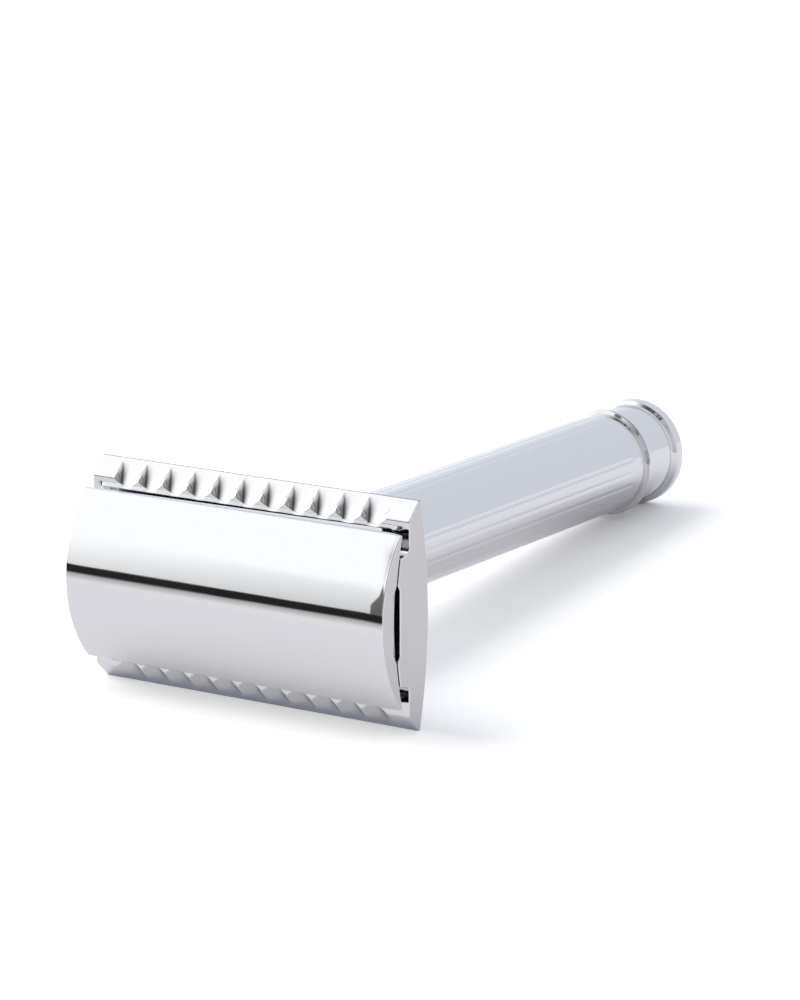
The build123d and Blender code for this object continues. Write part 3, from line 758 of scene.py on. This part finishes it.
# Moulded nitrile: nearly black and matt, with an even grain from the mould, drawn as coarse as
# 0.8 mm so that it shows.
rubber, tree, shader, spot = started("moulded_nitrile_rubber")
bloom = add(tree, "ShaderNodeTexNoise", {"Vector": spot, "Scale": 1200.0, "Detail": 3.0})
shades = {"Factor": bloom, "A": colour("#1a1a1c"), "B": colour("#2a2a2c")}
shade = add(tree, "ShaderNodeMix", shades, data_type="RGBA").outputs["Result"]
relief = add(tree, "ShaderNodeBump", {"Strength": 0.3, "Distance": 0.00003, "Height": bloom})
link(tree, shader, {"Base Color": shade, "Roughness": 0.65, "Normal": relief})

for end, seal_top in (("front", shoulder_level), ("rear", rear_shoulder)):
    seal_end = seal_top - seal_thickness
    outline = [
        (tube_bore, seal_top), (seal_radius, seal_top), (seal_radius, seal_end), (tube_bore, seal_end),
    ]
    reach = [0, seal_rounding, seal_rounding, 0]
    seal = form(f"{end}_seal_ring", *turned(outline, reach), [rubber])
    fit(seal, "handle", [f"{end}_seal"])


# --- Trim rings: two turned and beaded rings, chrome plated --------------------------------------
# One finishes each end of the grip. It runs level with the tube, then steps up to a round bead
# against the seal, and is polished all round.

ring_radius, ring_foot = 6.95, 6.36
grip_top, grip_end = -14.85, -77.25
front_shoulder = -13.15

# Each outline goes from the bore along the face against the grip, up the step and round the bead.
ring_ends = (("front", grip_top, front_shoulder), ("rear", grip_end, rear_shoulder))
for end, grip_side, seal_side in ring_ends:
    step_foot, step_top = grip_side + (seal_side - grip_side) * np.array([0.6, 0.7])
    outline = [
        (tube_bore, grip_side), (ring_foot, grip_side), (ring_foot, step_foot), (ring_radius, step_top),
        (ring_radius, seal_side), (tube_bore, seal_side),
    ]
    reach = [0, 0.03, 0.06, 0.16, 0.2, 0]
    ring = form(f"{end}_trim_ring", *turned(outline, reach), [chrome])
    fit(ring, "handle", [f"{end}_ring"])


# --- Grip: drawn brass tube, engraved and chrome plated --------------------------------------------
# Twenty-four shallow lines run along it and stop short of both ends. Polishing after engraving
# has softened their edges.

grip_radius, grip_rounding = 6.35, 0.05
line_count, line_half_width, line_depth, line_margin, line_run_out = 24, 0.4, 0.045, 1.6, 1.2
beside, plain_top, plain_end = 0.55, -20, -72

# At each turn and level the radius drops by the line's depth times the squared cosine of how far
# the turn is from the line's middle, and a smooth step of how far the level is from its end.
spacing = 2 * np.pi * grip_radius / line_count
across_line = np.linspace(-line_half_width, line_half_width, 9)
offsets = np.r_[across_line, [beside, spacing / 2, spacing - beside]]
turn = ((np.arange(line_count)[:, None] * spacing + offsets) / grip_radius).ravel()
hollow = np.cos(np.pi / 2 * offsets / line_half_width) ** 2
hollow = np.tile(np.where(np.abs(offsets) < line_half_width, hollow, 0), line_count)
run_out = line_margin + np.linspace(0, line_run_out, 7)
levels = np.r_[grip_top - run_out, np.linspace(plain_top, plain_end, 9), (grip_end + run_out)[::-1]]
outside = np.stack([np.full(len(levels) + 2, grip_radius), np.r_[grip_top, levels, grip_end]], -1)
outline = np.concatenate([outside, [(tube_bore, grip_end), (tube_bore, grip_top)]])
outline = softened(outline, [grip_rounding, *np.zeros(len(levels)), grip_rounding, 0, 0])
radius, level = outline[:, :1], outline[:, 1:]
from_end = np.minimum(grip_top - level, level - grip_end) - line_margin
fade = np.clip(from_end / line_run_out, 0, 1)
radius = radius - line_depth * hollow * fade**2 * (3 - 2 * fade) * (radius > tube_bore + 1)
points = place(radius * np.cos(turn), radius * np.sin(turn), level)
faces = quads(len(outline), len(turn), closed_rows=True, closed_columns=True)
grip = form("engraved_grip", points, faces, [chrome])
fit(grip, "handle", ["grip_tube"])


# --- Knob and end disc: turned brass, chrome plated --------------------------------------------------
# The knob has a plain neck and a beaded rim, on which the razor rests. A disc pressed into its
# end hides the nut.

knob_top, knob_end, rim_rounding, neck_radius = -79.35, -87.45, 0.45, 6.22
rim_centre, neck_end, rim_top = (6.38, -86.968), -85.3, -85.8
disc_radius, disc_thickness, disc_pocket = 5.2, 1.1, 5.21
cavity_level, cavity_radius, spigot_top = -82.85, 4.54, -73.55
pocket_softness, rim_softness, neck_softness, disc_rounding, rim_steps = 0.06, 0.15, 0.2, 0.15, 8

rim = arc(rim_centre, rim_rounding, 180, 90, rim_steps)
neck = [(rim_centre[0] + rim_rounding, rim_top), (neck_radius, neck_end), (neck_radius, knob_top)]
disc_level = knob_end + disc_thickness
outline = [
    (spigot_radius, knob_top), (spigot_radius, spigot_top), (rod_bore, spigot_top),
    (rod_bore, cavity_level), (cavity_radius, cavity_level), (cavity_radius, disc_level),
    (disc_pocket, disc_level), (disc_pocket, knob_end), *rim, *neck,
]
reach = [*np.zeros(7), pocket_softness, *np.zeros(rim_steps + 1), rim_softness, rim_softness, neck_softness]
knob = form("knob_turned", *turned(outline, reach, 128), [chrome])
fit(knob, "handle", ["end_knob"])

outline = [(0, knob_end), (disc_radius, knob_end), (disc_radius, disc_level), (0, disc_level)]
disc = form("knob_end_disc", *turned(outline, [0, disc_rounding, 0, 0]), [chrome])
fit(disc, "handle", ["end_disc"])


# --- Tie rod, washer and nut: M4 steel, zinc plated ----------------------------------------------------
# They clamp the tube between the collar and the knob, out of sight inside it.

# Bright zinc with a clear passivate: a soft grey with a faint blue cast, in clouds of about 2 mm.
zinc, tree, shader, spot = started("zinc_plated_steel")
cloud = add(tree, "ShaderNodeTexNoise", {"Vector": spot, "Scale": 500.0, "Detail": 4.0})
shades = {"Factor": cloud, "A": colour("#a9adb3"), "B": colour("#c3c6ca")}
shade = add(tree, "ShaderNodeMix", shades, data_type="RGBA").outputs["Result"]
gloss = add(tree, "ShaderNodeMapRange", {"Value": cloud, "To Min": 0.25, "To Max": 0.4})
link(tree, shader, {"Base Color": shade, "Metallic": 1.0, "Roughness": gloss})

for name in ("tie_rod", "tie_washer", "tie_nut"):
    finishes = bpy.data.objects[name].data.materials
    finishes.clear()
    finishes.append(zinc)
